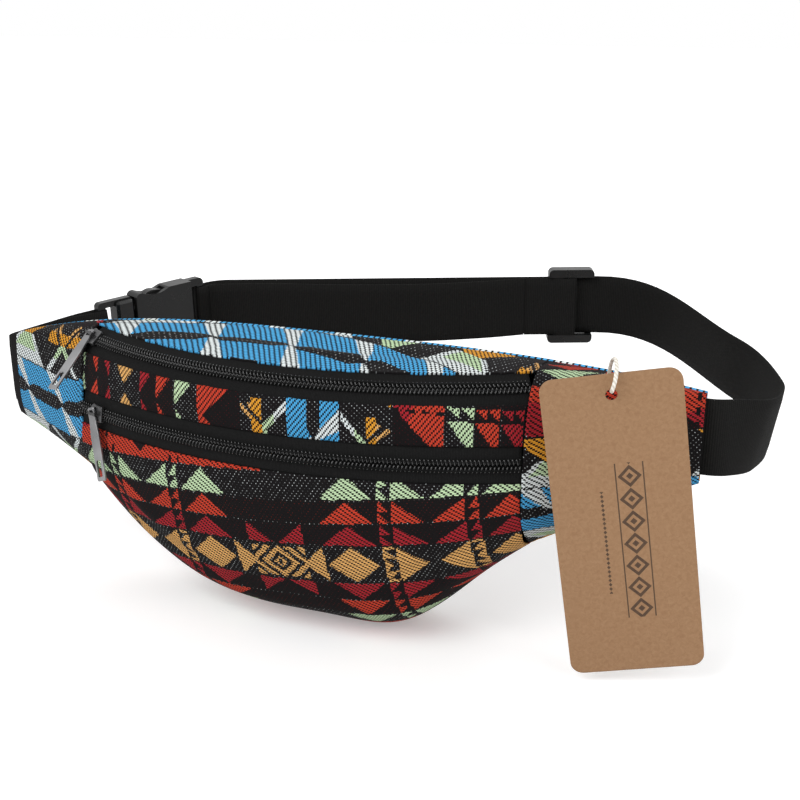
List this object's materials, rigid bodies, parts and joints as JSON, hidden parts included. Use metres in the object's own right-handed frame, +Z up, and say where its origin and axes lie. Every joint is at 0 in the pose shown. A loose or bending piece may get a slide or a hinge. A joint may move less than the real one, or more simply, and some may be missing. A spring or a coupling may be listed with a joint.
{
  "type": "waist pack",
  "caption": "Crescent waist pack in woven fabric with two curved zips, a webbing belt with side-release buckle and strap adjuster, and a plain card hang tag.",
  "frame": {"origin": "middle of the back panel's outer face, at the belt's mid-height", "axes": "+X right along the pouch, +Y back towards the wearer, +Z up"},
  "size_m": [0.4208, 0.287, 0.1559],
  "materials": {
    "weave": "coarse woven jacquard",
    "lining": "plain woven nylon",
    "webbing": "ribbed webbing",
    "zip_tape": "fine woven tape",
    "zip_coil": "satin nylon",
    "slider_metal": "black enamel",
    "pull_metal": "gunmetal plate",
    "buckle_plastic": "moulded satin",
    "card": "kraft board",
    "string": "cotton cord"
  },
  "bodies": {
    "pouch": {"back_panel": "weave", "belt_main": "webbing", "belt_return": "webbing", "buckle_female": "buckle_plastic", "buckle_male": "buckle_plastic", "front_band": "weave", "left_web": "webbing", "main_zip_coil_lower": "zip_coil", "main_zip_coil_upper": "zip_coil", "main_zip_tape_lower": "zip_tape", "main_zip_tape_upper": "zip_tape", "pocket_divider": "lining", "pocket_panel": "weave", "pocket_zip_coil_lower": "zip_coil", "pocket_zip_coil_upper": "zip_coil", "pocket_zip_tape_lower": "zip_tape", "pocket_zip_tape_upper": "zip_tape", "tag_string": "string", "top_panel": "weave", "wing_left": "weave", "wing_right": "weave"},
    "main_slider": {"main_zip_slider": "slider_metal"},
    "main_pull": {"main_zip_pull": "pull_metal"},
    "pocket_slider": {"pocket_zip_slider": "slider_metal"},
    "pocket_pull": {"pocket_zip_pull": "pull_metal"},
    "prong_upper": {"buckle_prong_upper": "buckle_plastic"},
    "prong_lower": {"buckle_prong_lower": "buckle_plastic"},
    "adjuster": {"tri_glide": "buckle_plastic", "belt_hem": "webbing"},
    "tag": {"hang_tag": "card"}
  },
  "joints": [
    {"name": "main_zip_travel", "type": "hinge", "parent": "pouch", "child": "main_slider", "pos_m": [0, 0.176, 0.0295], "axis": [0, 0, 1], "range_deg": [0, 55]},
    {"name": "main_pull_swing", "type": "hinge", "parent": "main_slider", "child": "main_pull", "pos_m": [-0.11658, -0.03923, 0.03279], "axis": [-0.3008, -0.568, 0.766], "range_deg": [-80, 8]},
    {"name": "pocket_zip_travel", "type": "hinge", "parent": "pouch", "child": "pocket_slider", "pos_m": [0, 0.208, -0.0037], "axis": [0, 0, 1], "range_deg": [-2.3, 44.1]},
    {"name": "pocket_pull_swing", "type": "hinge", "parent": "pocket_slider", "child": "pocket_pull", "pos_m": [-0.10604, -0.05788, -0.00295], "axis": [-0.3574, -0.9176, 0.1736], "range_deg": [-90, 0]},
    {"name": "prong_upper_press", "type": "hinge", "parent": "pouch", "child": "prong_upper", "pos_m": [-0.15571, 0.06165, 0.01316], "axis": [-0.9063, 0.4224, 0.0147], "range_deg": [0, 7], "stiffness_Nm_per_rad": 0.6},
    {"name": "prong_lower_press", "type": "hinge", "parent": "pouch", "child": "prong_lower", "pos_m": [-0.15571, 0.06241, -0.00883], "axis": [0.9063, -0.4224, -0.0147], "range_deg": [0, 7], "stiffness_Nm_per_rad": 0.6},
    {"name": "adjuster_slide", "type": "slide", "parent": "pouch", "child": "adjuster", "axis": [-0.9415, -0.3369, -0.0118], "range_m": [0, 0.15], "deforming": ["belt_return"]},
    {"name": "tag_swing", "type": "hinge", "parent": "pouch", "child": "tag", "pos_m": [0.1565, -0.052, 0.0378], "axis": [-0.9703, -0.2419, 0], "range_deg": [0, 24]}
  ]
}
